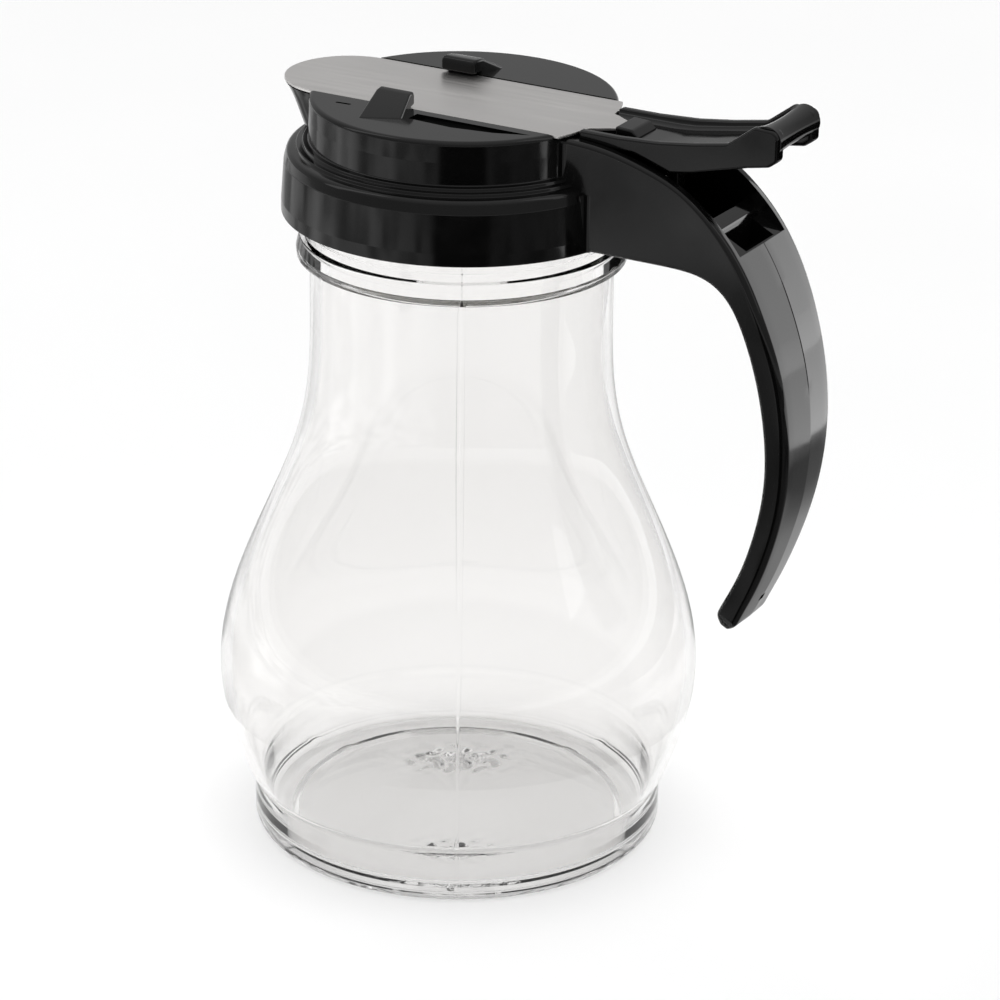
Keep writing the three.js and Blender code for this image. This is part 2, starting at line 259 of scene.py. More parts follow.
class Surface:
    """A Principled material with helpers for procedural detail in object space."""

    def __init__(self, name, color, roughness, **sockets):
        self.material = bpy.data.materials.new(name)
        self.material.use_nodes = True
        self.nodes = self.material.node_tree.nodes
        self.links = self.material.node_tree.links
        self.shader = self.nodes["Principled BSDF"]
        self.shader.inputs["Base Color"].default_value = (*color, 1)
        self.shader.inputs["Roughness"].default_value = roughness
        for socket, value in sockets.items():
            self.shader.inputs[socket.replace("_", " ")].default_value = value
        self.coordinates = self.nodes.new("ShaderNodeTexCoord")

    def noise(self, scale, stretch=(1, 1, 1), detail=4, roughness=0.5):
        mapping = self.nodes.new("ShaderNodeMapping")
        mapping.inputs["Scale"].default_value = stretch
        self.links.new(self.coordinates.outputs["Object"], mapping.inputs["Vector"])
        texture = self.nodes.new("ShaderNodeTexNoise")
        texture.inputs["Scale"].default_value = scale
        texture.inputs["Detail"].default_value = detail
        texture.inputs["Roughness"].default_value = roughness
        self.links.new(mapping.outputs["Vector"], texture.inputs["Vector"])
        return texture.outputs["Fac"]

    def vary(self, socket, fac, low, high):
        """Drives a number on the shader between two values."""
        spread = self.nodes.new("ShaderNodeMapRange")
        spread.inputs["From Min"].default_value = 0.3
        spread.inputs["From Max"].default_value = 0.7
        spread.inputs["To Min"].default_value = low
        spread.inputs["To Max"].default_value = high
        self.links.new(fac, spread.inputs["Value"])
        self.links.new(spread.outputs["Result"], self.shader.inputs[socket])

    def tint(self, fac, low, high):
        ramp = self.nodes.new("ShaderNodeValToRGB")
        ramp.color_ramp.elements[0].position = 0.3
        ramp.color_ramp.elements[1].position = 0.7
        ramp.color_ramp.elements[0].color = (*low, 1)
        ramp.color_ramp.elements[1].color = (*high, 1)
        self.links.new(fac, ramp.inputs["Fac"])
        self.links.new(ramp.outputs["Color"], self.shader.inputs["Base Color"])

    def bump(self, *layers):
        """Chains bumps of (height, strength, distance in millimetres)."""
        before = None
        for height, strength, distance in layers:
            node = self.nodes.new("ShaderNodeBump")
            node.inputs["Strength"].default_value = strength
            node.inputs["Distance"].default_value = distance * MM
            self.links.new(height, node.inputs["Height"])
            if before:
                self.links.new(before, node.inputs["Normal"])
            before = node.outputs["Normal"]
        self.links.new(before, self.shader.inputs["Normal"])


def black_plastic(name, lift=1.0):
    """Gloss moulded plastic: faint flow waves, a fine orange peel and a little handling haze."""
    made = Surface(name, (0.0024, 0.0024, 0.0025), 0.1, IOR=1.49, Specular_IOR_Level=0.3)
    made.tint(made.noise(55), (0.0018 * lift,) * 3, (0.003 * lift,) * 3)
    made.vary("Roughness", made.noise(160, detail=6), 0.06, 0.13)
    made.bump((made.noise(38, detail=1), 0.2, 0.05), (made.noise(1500, detail=2), 0.1, 0.004))
    return made.material


def clear_plastic():
    """Clear moulded polycarbonate with the slight waviness of its walls and a trace of surface haze."""
    made = Surface("clear_polycarbonate", (1, 1, 1), 0.02, IOR=1.5, Transmission_Weight=1.0)
    made.tint(made.noise(18, detail=1), (0.953, 0.947, 0.94), (0.97, 0.965, 0.959))
    made.vary("Roughness", made.noise(120, detail=5), 0.0, 0.03)
    made.bump((made.noise(26, (1, 1, 0.6), detail=1), 0.2, 0.12))
    return made.material


def satin_steel():
    """Rolled stainless sheet: fine lengthwise brushing and soft handling marks."""
    made = Surface("satin_stainless", (0.5, 0.49, 0.48), 0.34, Metallic=1.0, Anisotropic=0.3)
    made.tint(made.noise(30, detail=3), (0.67, 0.655, 0.642), (0.75, 0.735, 0.722))
    grain = made.noise(900, (0.05, 1, 1), detail=3)
    made.vary("Roughness", grain, 0.28, 0.42)
    made.bump((grain, 0.12, 0.01))
    return made.material


def bright_steel(name, roughness):
    """Drawn wire and turned steel, with fine lines and a slight stain."""
    made = Surface(name, (0.56, 0.55, 0.53), roughness, Metallic=1.0)
    made.tint(made.noise(240), (0.5, 0.49, 0.47), (0.6, 0.59, 0.57))
    lines = made.noise(1800, (1, 0.15, 1), detail=2)
    made.vary("Roughness", lines, roughness - 0.06, roughness + 0.1)
    made.bump((lines, 0.15, 0.008))
    return made.material


def silicone():
    made = Surface("pale_silicone", (0.68, 0.67, 0.62), 0.6, IOR=1.43)
    made.tint(made.noise(90), (0.62, 0.61, 0.56), (0.7, 0.69, 0.64))
    made.vary("Roughness", made.noise(600), 0.5, 0.7)
    made.bump((made.noise(1200, detail=2), 0.3, 0.02))
    return made.material


def finish_piece(obj, name, material, slot, body, *nodes):
    """Names a finished piece, gives it its material and body, and hides the CAD nodes it stands for."""
    obj.name = name
    obj.data.name = name
    obj.data.materials.clear()
    obj.data.materials.append(material)
    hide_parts(*nodes)
    if body:
        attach(obj, body)
    return obj


# Jar

FOOT_R = 39.8
RECESS_R = 33.0
NECK_R = 28.7
WALL = 2.0
FLOOR_Z = 2.8
LIP_Z = 134.6
MOUTH_R = 26.2
FINISH_R = 29.2
SEAM_TURN = math.radians(-60)  # one of the mould's two parting lines
LEAD = 4.0
THREAD_TURNS = 1.25
THREAD_R = 1.1

BODY = [
    (41.2, 12.6),
    (44.8, 22.8),
    (46.4, 34),
    (43.3, 50.3),
    (36.9, 66),
    (31.1, 81.4),
    (29, 94),
    (NECK_R, 108),
    (NECK_R, 116.3),
]


def thread(radius, z):
    steps = 90
    turn = [k / steps for k in range(steps + 1)]
    path = []
    for t in turn:
        a = t * THREAD_TURNS * TAU
        path.append((radius * math.cos(a), radius * math.sin(a), z + t * THREAD_TURNS * LEAD))
    return tube("thread", path, THREAD_R, 10)


def seam_angles():
    """Even angles with a few more beside each parting line."""
    even = [TAU * k / 160 for k in range(160)]
    close = [math.radians(d) for d in (-0.6, -0.35, -0.18, 0, 0.18, 0.35, 0.6)]
    seams = [SEAM_TURN % TAU, (SEAM_TURN + math.pi) % TAU]
    kept = [a for a in even if all(abs(a - s) > math.radians(1) for s in seams)]
    return sorted(kept + [s + d for s in seams for d in close])


def make_jar():
    body = spline(BODY, 7)
    inside = [(r - WALL, z) for r, z in body][::-1]
    foot = [
        (0, 1.2, 0),
        (RECESS_R - 4, 0.9, 3),
        (RECESS_R - 1.5, 0.75, 0.6),
        (RECESS_R, 0, 0.4),
        (FOOT_R - 1.5, 0, 1.1),
        (FOOT_R - 0.35, 1.5, 0.6),
        (FOOT_R - 0.3, 2.3, 0.15),
        (FOOT_R, 2.5, 0.15),
        (FOOT_R, 10.6, 2.5),
        (40.6, 12.0, 1),
        (41.1, 12.5, 0),
    ]
    finish = [
        (NECK_R, 118.0, 0.2),
        (31.15, 117.35, 0.12),
        (31.3, 118.6, 0.8),
        (30.7, 121.4, 0.3),
        (29.8, 121.7, 0.2),
        (29.5, 123, 0.2),
        (FINISH_R, 123.2, 0.15),
        (FINISH_R, LIP_Z, 0.5),
        (MOUTH_R, LIP_Z, 0.5),
        (MOUTH_R, 123, 2),
        (NECK_R - WALL, 119.5, 2),
        (NECK_R - WALL, 117, 0),
    ]
    corner = [(38.9, 12.0, 3), (37.7, FLOOR_Z + 0.4, 3.5), (34.5, FLOOR_Z, 0)]
    floor = [(34 - 0.8 * k, FLOOR_Z) for k in range(30)] + [(0, FLOOR_Z)]
    outer = rounded(foot, closed=False) + body
    profile = outer + rounded(finish, closed=False) + inside + rounded(corner, closed=False) + floor

    def ridge(row, angle):
        """The parting line stands a hair proud of the outside."""
        if row >= len(outer) or profile[row][1] < 0.5:
            return 0
        off = min(abs(math.remainder(angle - SEAM_TURN - side, TAU)) for side in (0, math.pi))
        return 0.17 * math.exp(-((off * profile[row][0] / 0.16) ** 2))

    jar = lathe("jar", profile, angles=seam_angles(), extra=ridge)
    pucker_floor(jar)
    join(jar, thread(FINISH_R, 126.2))
    finish_piece(smooth(jar), "jar_shell", clear_plastic(), "clear_jar", "jar", "jar")
    jar.visible_shadow = False


def pucker_floor(jar):
    """The flow swirls that the moulding leaves in the floor where the parting lines meet it."""
    for vertex in jar.data.vertices:
        x, y, z = (vertex.co.x - AXIS_X) / MM, vertex.co.y / MM, vertex.co.z / MM
        if abs(z - FLOOR_Z) > 0.2:
            continue
        along = x * math.cos(SEAM_TURN) + y * math.sin(SEAM_TURN)
        across = y * math.cos(SEAM_TURN) - x * math.sin(SEAM_TURN)
        out = abs(along - 4.0) - 20.0
        fade = math.exp(-((out / 4.8) ** 2) - ((across / 9.0) ** 2))
        ripple = math.sin(1.1 * across + 0.9 * math.sin(0.9 * out)) * math.cos(1.1 * out)
        depth = 1.35 if along > 0 else 0.95
        vertex.co.z += MM * fade * (depth * ripple - 0.3)


def make_gasket():
    z = LIP_Z + 0.3
    profile = rounded([(MOUTH_R, z, 0.3), (30.5, z, 0.3), (30.5, z + 1.4, 0.3), (MOUTH_R, z + 1.4, 0.3)])
    ring = lathe("gasket", profile, closed=True)
    finish_piece(smooth(ring), "sealing_ring", silicone(), "gasket", "seal", "jar_gasket")


# Top

TOWER_R = 28.8
TOWER_BORE = 26.6
COLLAR_ROOF_Z = 136.6
GATE_HALF = 12.3
NOSE_X = -24.8
SPOUT_HALF = GATE_HALF - 0.4
SPOUT_WALL = 1.7
SPOUT_Z = 138.0
SPOUT_SLOPE = 0.45
POUR_Z = 140.0
POUR_REAR_X = -13.0
HANDLE_HALF = 11.0
CHANNEL_HALF = 9.0
CHANNEL_FLOOR_Z = 128.6
CROSS_WALL_X = (54.8, 57.4)
CROSS_WALL_Z = 134.4
SHAFT_HALF = 5.5
SPRING_Z = 137.9
SPRING_R = 1.5
SPRING_X = (34.2, 43.4)
WIRE_R = 0.3
POST_HALF = 1.5


def make_shell():
    profile = [
        (0, 145, 0),
        (TOWER_BORE, 145, 0.6),
        (TOWER_BORE, COLLAR_ROOF_Z, 0.3),
        (31.3, COLLAR_ROOF_Z, 0.6),
        (31.3, COLLAR_Z - 0.3, 0.25),
        (34.05, COLLAR_Z - 0.3, 0.3),
        (34.0, 128.5, 2),
        (33.5, 135.8, 1.5),
        (32.9, 138.1, 1.9),
        (31.3, 138.35, 0.15),
        (31.15, 138.95, 0.2),
        (30.1, 139.05, 0.12),
        (29.95, 139.6, 0.2),
        (TOWER_R + 0.1, 139.75, 0.25),
        (TOWER_R, 144, 3),
        (TOWER_R, DECK_Z, 0.9),
        (0, DECK_Z, 0),
    ]
    return lathe("top", rounded(profile, closed=False), angles=[TAU * k / 192 for k in range(192)])


def inside_volume():
    """What the handle and the spout must leave free inside the collar and the tower."""
    profile = [(0, 120), (32.5, 120), (32.5, COLLAR_ROOF_Z), (27.8, 137.6), (27.8, 150), (0, 150)]
    return lathe("inside", profile)


def leaning_nose(name, radius, z0, z1, flare=0.0):
    """A nose-shaped column that leans out towards its top and is under the gate's nose at the track."""
    rings = []
    steps = 12
    for k in range(steps + 1):
        z = z0 + (z1 - z0) * k / steps
        depth = TRACK_Z - z
        shift = SPOUT_SLOPE * depth + 0.15 * min(max(depth, 0), 2.5)
        grow = flare * max(0.0, 1 - (z1 - z) / 1.2) ** 2
        nose = arc(NOSE_X + shift, 0, radius + grow, 90, 270, 40)
        rear = POUR_REAR_X + shift
        rings.append([(x, y, z) for x, y in [(rear, radius), *nose, (rear, -radius)]])
    return loft(name, rings)


def make_hook(side):
    """A ramp that rises from the deck and reaches over the gate's edge. Its foot slants across the deck."""
    tip, lift = GATE_HALF - 1.5, DECK_Z + 0.25
    rings = []
    for x_tip, x_foot, rim in ((-11.3, -9.4, 22.6), (-4.2, -2.2, 19.0)):
        section = [
            (rim + 0.4, DECK_Z - 0.9),
            (rim, DECK_Z),
            (13.5, DECK_Z + 2.9),
            (tip + 0.6, DECK_Z + 3.0),
            (tip, DECK_Z + 2.3),
            (tip, lift),
            (GATE_HALF + 0.3, lift),
            (GATE_HALF + 0.3, DECK_Z - 0.9),
        ]
        slant = (x_foot - x_tip) / (rim - tip)
        rings.append([(x_tip + slant * (y - tip), side * y, z) for y, z in section])
    return softened(loft("hook", rings), 0.7, 4, 40)


# Stations down the handle: outer x and z, inner x and z, half width, rear edge radius, crease height.
HANDLE = [
    (20, 147.2, 20, 126.3, 11, 0.9, 0),
    (28, 147.0, 28, 126.3, 11, 0.9, 0),
    (35.5, 146.3, 36, 126.3, 11, 0.9, 0),
    (43.2, 144.4, 44, 126.3, 11, 0.9, 0),
    (50.4, 141.5, 51, 126.2, 11, 0.9, 0),
    (56.6, 137.2, 56, 125.4, 11, 1.1, 0.2),
    (62.7, 130.7, 60.3, 122.8, 11, 1.5, 0.4),
    (68.4, 120.1, 64.1, 116.5, 10.8, 1.6, 0.42),
    (72.1, 108.9, 66.9, 107, 10.0, 1.6, 0.42),
    (73.7, 96.5, 68.6, 95, 9.2, 1.6, 0.42),
    (72.9, 84, 67.8, 83, 8.1, 1.5, 0.4),
    (70.1, 73.2, 64.9, 72, 7.2, 1.4, 0.36),
    (66.2, 63.2, 61.5, 64, 6.6, 1.2, 0.3),
    (63.7, 58.2, 59.4, 59.9, 6.4, 1.0, 0.2),
    (62.4, 56.3, 58.8, 58.0, 6.1, 0.8, 0.1),
    (61.1, 55.6, 59.1, 56.6, 5.6, 0.5, 0),
]


def handle_section(row):
    """One ring across the handle: flat inner face, flat sides, rounded edges and a two-facet back."""
    ox, oz, ix, iz, half, edge, crease = row
    inner, outer = Vector((ix, iz)), Vector((ox, oz))
    depth = (outer - inner).length
    out = (outer - inner).normalized()
    groove = 0.12 if 104 < oz < 131 else 0.0
    edge = min(edge, depth * 0.45)
    inner_edge = min(0.8, depth * 0.4)
    shoulder = depth - crease
    half_ring = [(half * f, 0) for f in (0, 0.3, 0.6)]
    half_ring += arc(half - inner_edge, inner_edge, inner_edge, -90, 0, 4)
    half_ring += arc(half - edge, shoulder - edge, edge, 0, 84, 5)
    for f in (0.75, 0.5, 0.25):
        half_ring.append(((half - edge) * f, depth - crease * f))
    half_ring.append((0.18, depth - 0.004))
    half_ring.append((0, depth - groove))
    other = [(-y, n) for y, n in half_ring[1:-1]][::-1]
    return [(inner.x + out.x * n, y, inner.y + out.y * n) for y, n in half_ring + other]


def root_fillet(side, round_r, radius, z0, z1):
    """The smooth fold where the handle's side runs into a round wall of the top."""
    across = HANDLE_HALF + radius
    along = math.sqrt((round_r + radius) ** 2 - across**2)
    touch = math.degrees(math.atan2(-across, -along))
    corner = [(along, HANDLE_HALF - 1.2), (along - radius - 3, HANDLE_HALF - 1.2)]
    back = tuple(c * (round_r - 1) / (round_r + radius) for c in (along, across))
    outline = [back] + arc(along, across, radius, touch, -90, 10) + corner
    return plate("fillet", [(x, side * y) for x, y in outline], z0, z1)


def make_handle():
    handle = loft("handle", [handle_section(row) for row in spline(HANDLE, 8)])
    across = (-CHANNEL_HALF, CHANNEL_HALF)
    channel = block("channel", (10, CROSS_WALL_X[0]), across, (CHANNEL_FLOOR_Z, 152), 1.2)
    shaft_outline = [
        (CROSS_WALL_X[1] + 0.2, 134),
        (CROSS_WALL_X[1] + 0.2, 127.4),
        (61, 126.2),
        (62.9, 127.4),
        (62, 130.6),
        (62, 134),
    ]
    shaft = slab("shaft", shaft_outline, -SHAFT_HALF, SHAFT_HALF)
    sill_outline = [
        (CROSS_WALL_X[0] - 1, CROSS_WALL_Z + 0.7),
        (CROSS_WALL_X[0] + 0.3, CROSS_WALL_Z + 0.6),
        (CROSS_WALL_X[1] - 0.1, CROSS_WALL_Z - 0.6),
        (CROSS_WALL_X[1] + 0.2, 132.6),
        (62.3, 130.2),
        (66, 132),
        (60, 140),
        (CROSS_WALL_X[0] - 1, 140),
    ]
    sill = slab("sill", sill_outline, *across)
    notch = block("notch", (62.4, 66.4), (-0.9, 0.9), (60.6, 61.8))
    return cut(handle, channel, shaft, sill, notch, inside_volume())


def spring_post(xs, zs):
    """A small upright that one end of the return spring bears on."""
    return block("post", xs, (-POST_HALF, POST_HALF), zs, 0.4)


def make_top():
    spout = cut(leaning_nose("spout", SPOUT_HALF, SPOUT_Z, TRACK_Z, 0.2), inside_volume())
    pour = leaning_nose("pour", SPOUT_HALF - SPOUT_WALL, POUR_Z, DECK_Z + 1)
    track = block("track", (-50, 40), (-GATE_HALF - 0.25, GATE_HALF + 0.25), (TRACK_Z, DECK_Z + 1))
    groove_outline = [(-1.4, -17.8), (8, -18.4), (16, -17.2), (22.6, -14.8), (-1.4, -14.6)]
    groove = plate("groove", groove_outline, DECK_Z - 0.9, DECK_Z + 1)
    vent_outline = [(-17.8, -16.7, 0.3), (-14.7, -16.5, 0.3), (-14.7, -15.8, 0.3), (-17.8, -16, 0.3)]
    vent = plate("vent", rounded(vent_outline), DECK_Z - 0.6, DECK_Z + 1)
    post = spring_post((32, SPRING_X[0] - 0.3), (SPRING_Z - 0.7, SPRING_Z + 2))
    folds = []
    for side in (-1, 1):
        folds.append(cut(root_fillet(side, 33.5, 2.0, COLLAR_Z, 137.2), inside_volume()))
        folds.append(cut(root_fillet(side, TOWER_R - 0.1, 2.0, 137.2, 146.2), inside_volume()))
    top = join(make_shell(), spout, make_handle(), *folds, post)
    cut(top, track, pour, groove, vent)
    join(top, make_hook(1), make_hook(-1), thread(30.9, 126.2 + LEAD / 2))
    material = black_plastic("black_top_plastic")
    finish_piece(smooth(top), "top_moulding", material, "black_top", "top", "top_body")


# Gate, rivet, slider and spring

GATE_Z = TRACK_Z + 0.3
GATE_T = 0.6
GATE_REAR_R = 29.6
TONGUE_HALF = 2.3
TONGUE_X = 36.6
RIVET_X = 35.4
RIVET_R = 0.9
SLIDER_HALF = CHANNEL_HALF - 0.3
SLIDER_WALL = 1.8
SLIDER_FRONT_R = TOWER_R + 1.1
BAR_X, BAR_Z = 66.4, 152.2


def rivet_hole():
    outline = arc(RIVET_X, 0, RIVET_R + 0.2, 0, 345, 23)
    return plate("hole", outline, 144.6, 148.35)


def make_gate():
    reach = math.degrees(math.asin(GATE_HALF / GATE_REAR_R))
    neck = math.degrees(math.asin(5.0 / GATE_REAR_R))
    near = arc(0, 0, GATE_REAR_R, -reach, -neck, 10)
    root = [(29.9, -4.65), (30.6, -4.3), (32.2, -3.2), (33.2, -2.6), (34.2, -TONGUE_HALF)]
    tongue = [(TONGUE_X - 0.6, -TONGUE_HALF), (TONGUE_X, -TONGUE_HALF + 0.6)]
    half = near + root + tongue
    outline = arc(NOSE_X, 0, GATE_HALF, 90, 270, 48) + half + [(x, -y) for x, y in half[::-1]]
    gate = softened(plate("gate", outline, GATE_Z, GATE_Z + GATE_T), 0.13, 2, 50)
    cut(gate, rivet_hole())
    finish_piece(smooth(gate), "steel_gate", satin_steel(), "gate_steel", "slider", "gate")


def make_rivet():
    profile = [
        (0, 145, 0),
        (1.6, 145, 0.4),
        (1.6, 145.6, 0.1),
        (RIVET_R, 145.6, 0),
        (RIVET_R, 148.1, 0.2),
        (0, 148.1, 0),
    ]
    turns = [TAU * k / 32 for k in range(32)]
    rivet = lathe("rivet", rounded(profile, closed=False), angles=turns)
    rivet.data.transform(Matrix.Translation((RIVET_X * MM, 0, 0)))
    material = bright_steel("rivet_metal", 0.3)
    finish_piece(smooth(rivet), "tongue_rivet", material, "rivet_steel", "slider", "gate_rivet")


SLIDER_SIDE = [
    (29, 145.9, 0),
    (40.4, 145.9, 4),
    (47.8, 143.4, 1.2),
    (52, 144.1, 6),
    (63.1, 147, 4),
    (67.3, 147.8, 1),
    (69.0, 149.0, 1.2),
    (69.0, 154.6, 1.6),
    (64.2, 154.8, 1),
    (59, 150.9, 2.5),
    (52, 149.7, 14),
    (45, 148.8, 14),
    (37, 148.4, 10),
    (29, 148.4, 0),
]

SLIDER_LUG = [
    (63.2, 147.2, 0),
    (67.3, 147.8, 1),
    (69.0, 149.0, 1.2),
    (69.0, 154.6, 1.6),
    (64.2, 154.8, 1),
]

# The hump that holds the gate's tongue down
SLIDER_LIP = [
    (33.8, 146.4, 0),
    (38.6, 146.4, 0),
    (38.6, 147.2, 0),
    (37.3, 148.4, 1.2),
    (33.8, 148.6, 0.5),
]

# Stations along the trough: x, underside, floor and rim heights.
TROUGH = [
    (28.5, 145.9, 147.0, 148.4),
    (42.0, 145.9, 147.0, 148.4),
    (45.2, 145.95, 147.15, 148.5),
    (48.4, 146.4, 147.6, 148.9),
    (52.0, 147.05, 148.15, 149.35),
    (58.0, 148.1, 149.2, 150.4),
    (62.8, 148.95, 150.05, 151.6),
]


def slider_bar():
    """The thumb bar's waist, turned about Y."""
    half = SLIDER_HALF - 0.8
    rings = []
    for k in range(25):
        y = half * (k / 12 - 1)
        radius = 2.55 + 0.45 * abs(y / half) ** 2
        ring = arc(BAR_X, BAR_Z, radius, 0, 348.75, 31)
        rings.append([(x, y, z) for x, z in ring])
    return loft("bar", rings)


def slider_trough():
    """The floor between the side walls, rising into them in a wide fold."""
    inner = SLIDER_HALF - SLIDER_WALL
    rings = []
    turns = [math.radians(a) for a in range(0, 91, 15)]
    for x, under, floor, rim in TROUGH:
        rise = rim - floor - 0.15
        fold = [(inner - 2.2 + 2.2 * math.sin(t), floor + rise * (1 - math.cos(t))) for t in turns]
        half = [(inner + 0.8, under), (inner + 0.8, rim - 0.3), (inner, rim - 0.2)] + fold[::-1]
        section = half + [(-y, z) for y, z in half[::-1]]
        rings.append([(x, y, z) for y, z in section])
    return loft("trough", rings)


def make_slider():
    inner = SLIDER_HALF - SLIDER_WALL
    side = rounded(SLIDER_SIDE)
    near = softened(slab("slider", side, -SLIDER_HALF, -inner), 0.55, 4, 50)
    far = softened(slab("far", side, inner, SLIDER_HALF), 0.55, 4, 50)
    post = spring_post((SPRING_X[1] + 0.3, SPRING_X[1] + 2.4), (SPRING_Z - 1.8, 147))
    lugs = []
    for y0, y1 in ((-SLIDER_HALF, -inner + 1.4), (inner - 1.4, SLIDER_HALF)):
        lugs.append(softened(slab("lug", rounded(SLIDER_LUG), y0, y1), 1.1, 5, 50))
    lip = softened(slab("lip", rounded(SLIDER_LIP), -3.7, 3.7), 0.9, 4, 50)
    slot = block("slot", (28, TONGUE_X + 0.3), (-TONGUE_HALF - 0.3, TONGUE_HALF + 0.3), (147, 148.2))
    front = plate("front", arc(0, 0, SLIDER_FRONT_R, 0, 358, 179), 138, 152)
    slider = join(near, far, *lugs, slider_trough(), slider_bar(), post, lip)
    cut(slider, slot, rivet_hole(), front)
    material = black_plastic("black_slider_plastic", 1.15)
    finish_piece(smooth(slider), "thumb_slide", material, "black_slider", "slider", "thumb_slider")


def make_spring():
    turns, steps = 13, 20
    first, last = SPRING_X[0] + WIRE_R, SPRING_X[1] - WIRE_R
    path = []
    for k in range(turns * steps + 1):
        a = TAU * k / steps
        x = first + (last - first) * k / (turns * steps)
        path.append((x, -SPRING_R * math.sin(a), SPRING_Z + SPRING_R * math.cos(a)))
    spring = smooth(tube("spring", path, WIRE_R, 8), 60)
    material = bright_steel("spring_wire", 0.25)
    finish_piece(spring, "gate_spring", material, "spring_steel", None, "return_spring")
    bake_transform(spring)


# Studio

CAMERA_AZIMUTH = 30.0
CAMERA_ELEVATION = 22.15
CAMERA_DISTANCE = 0.8405
TARGET = Vector((AXIS_X, 0, 0.074))


def make_camera():
    camera = bpy.data.objects.new("camera", bpy.data.cameras.new("camera"))
    bpy.context.scene.collection.objects.link(camera)
    camera.data.sensor_width = 36
    camera.data.lens = 157.6
    camera.data.shift_y = -0.0356
    camera.data.clip_start = 0.05
    camera.data.clip_end = 50
    around, up = math.radians(CAMERA_AZIMUTH), math.radians(CAMERA_ELEVATION)
    back = Vector((math.sin(around) * math.cos(up), -math.cos(around) * math.cos(up), math.sin(up)))
    place = Matrix.Translation(TARGET + back * CAMERA_DISTANCE)
    aim = Matrix.Rotation(around, 4, "Z") @ Matrix.Rotation(math.pi / 2 - up, 4, "X")
    yaw = Matrix.Rotation(math.radians(-0.52), 4, "Y")
    roll = Matrix.Rotation(math.radians(0.55), 4, "Z")
    camera.matrix_world = place @ aim @ yaw @ roll
    bpy.context.scene.camera = camera


def make_world():
    """A white sweep for the camera, and for every other ray a room that is darker towards the horizon."""
    world = bpy.data.worlds.new("studio")
    bpy.context.scene.world = world
    world.use_nodes = True
    nodes, links = world.node_tree.nodes, world.node_tree.links
    sweep = nodes["Background"]
    sweep.inputs["Color"].default_value = (1, 1, 1, 1)
    around = nodes.new("ShaderNodeBackground")
    direction = nodes.new("ShaderNodeTexCoord")
    split = nodes.new("ShaderNodeSeparateXYZ")
    links.new(direction.outputs["Generated"], split.inputs["Vector"])
    ramp = nodes.new("ShaderNodeValToRGB")
    ramp.color_ramp.elements[0].color = (0.44, 0.44, 0.44, 1)
    ramp.color_ramp.elements[1].color = (0.95, 0.95, 0.95, 1)
    middle = ramp.color_ramp.elements.new(0.37)
    middle.color = (0.48, 0.48, 0.48, 1)
    links.new(split.outputs["Z"], ramp.inputs["Fac"])
    links.new(ramp.outputs["Color"], around.inputs["Color"])
    rays = nodes.new("ShaderNodeLightPath")
    mix = nodes.new("ShaderNodeMixShader")
    links.new(rays.outputs["Is Camera Ray"], mix.inputs["Fac"])
    links.new(around.outputs[0], mix.inputs[1])
    links.new(sweep.outputs[0], mix.inputs[2])
    links.new(mix.outputs[0], nodes["World Output"].inputs["Surface"])


def make_floor():
    half = 4000.0
    corners = [(-half, -half, 0), (half, -half, 0), (half, half, 0), (-half, half, 0)]
    floor = new_object("floor", corners, [(0, 1, 2, 3)])
    paper = Surface("pale_sweep", (0.93, 0.93, 0.93), 0.9, Specular_IOR_Level=0.1)
    paper.tint(paper.noise(3, detail=2), (0.925, 0.925, 0.925), (0.94, 0.94, 0.94))
    whiten_far_off(paper)
    floor.data.materials.append(paper.material)
    floor.location.z = -0.0002


def whiten_far_off(paper):
    """Lets the paper run into the white sweep behind it, so that no horizon shows."""
    nodes, links = paper.nodes, paper.links
    reach = nodes.new("ShaderNodeVectorMath")
    reach.operation = "LENGTH"
    links.new(paper.coordinates.outputs["Object"], reach.inputs[0])
    fade = nodes.new("ShaderNodeMapRange")
    fade.inputs["From Min"].default_value = 0.7
    fade.inputs["From Max"].default_value = 1.8
    links.new(reach.outputs["Value"], fade.inputs["Value"])
    rays = nodes.new("ShaderNodeLightPath")
    seen = nodes.new("ShaderNodeMath")
    seen.operation = "MULTIPLY"
    links.new(fade.outputs["Result"], seen.inputs[0])
    links.new(rays.outputs["Is Camera Ray"], seen.inputs[1])
    sweep = nodes.new("ShaderNodeEmission")
    mix = nodes.new("ShaderNodeMixShader")
    links.new(seen.outputs["Value"], mix.inputs["Fac"])
    links.new(paper.shader.outputs["BSDF"], mix.inputs[1])
    links.new(sweep.outputs["Emission"], mix.inputs[2])
    links.new(mix.outputs["Shader"], nodes["Material Output"].inputs["Surface"])


def soft_box(name, at, aim, size, watts, gloss_only=False):
    light = bpy.data.objects.new(name, bpy.data.lights.new(name, "AREA"))
    bpy.context.scene.collection.objects.link(light)
    light.data.shape = "RECTANGLE"
    light.data.size, light.data.size_y = size
    light.data.energy = watts
    light.location = at
    light.rotation_mode = "QUATERNION"
    light.rotation_quaternion = (Vector(aim) - Vector(at)).to_track_quat("-Z", "Y")
    light.visible_camera = False
    light.visible_transmission = False
    light.visible_diffuse = not gloss_only
    light.visible_glossy = gloss_only
    return light


def make_lights():
    top = Vector((AXIS_X, 0, 0.1))
    soft_box("overhead", (AXIS_X, 0.2, 2.2), top, (2.4, 2.4), 23.5)
    grip = Vector((AXIS_X + 0.04, 0, 0.3))
    soft_box("back_right", (0.515, 0.728, 0.3), grip, (0.65, 0.6), 3.3, gloss_only=True)
    soft_box("jar_glow", (AXIS_X, 0, 0.11), (AXIS_X, 0, 0), (0.04, 0.04), 0.043)
    soft_box("strip_left", (-0.95, -0.5, 0.95), top, (0.32, 1.3), 1.6, gloss_only=True)
    soft_box("strip_right", (1.1, 0.12, 0.95), top, (0.32, 1.3), 1.2, gloss_only=True)


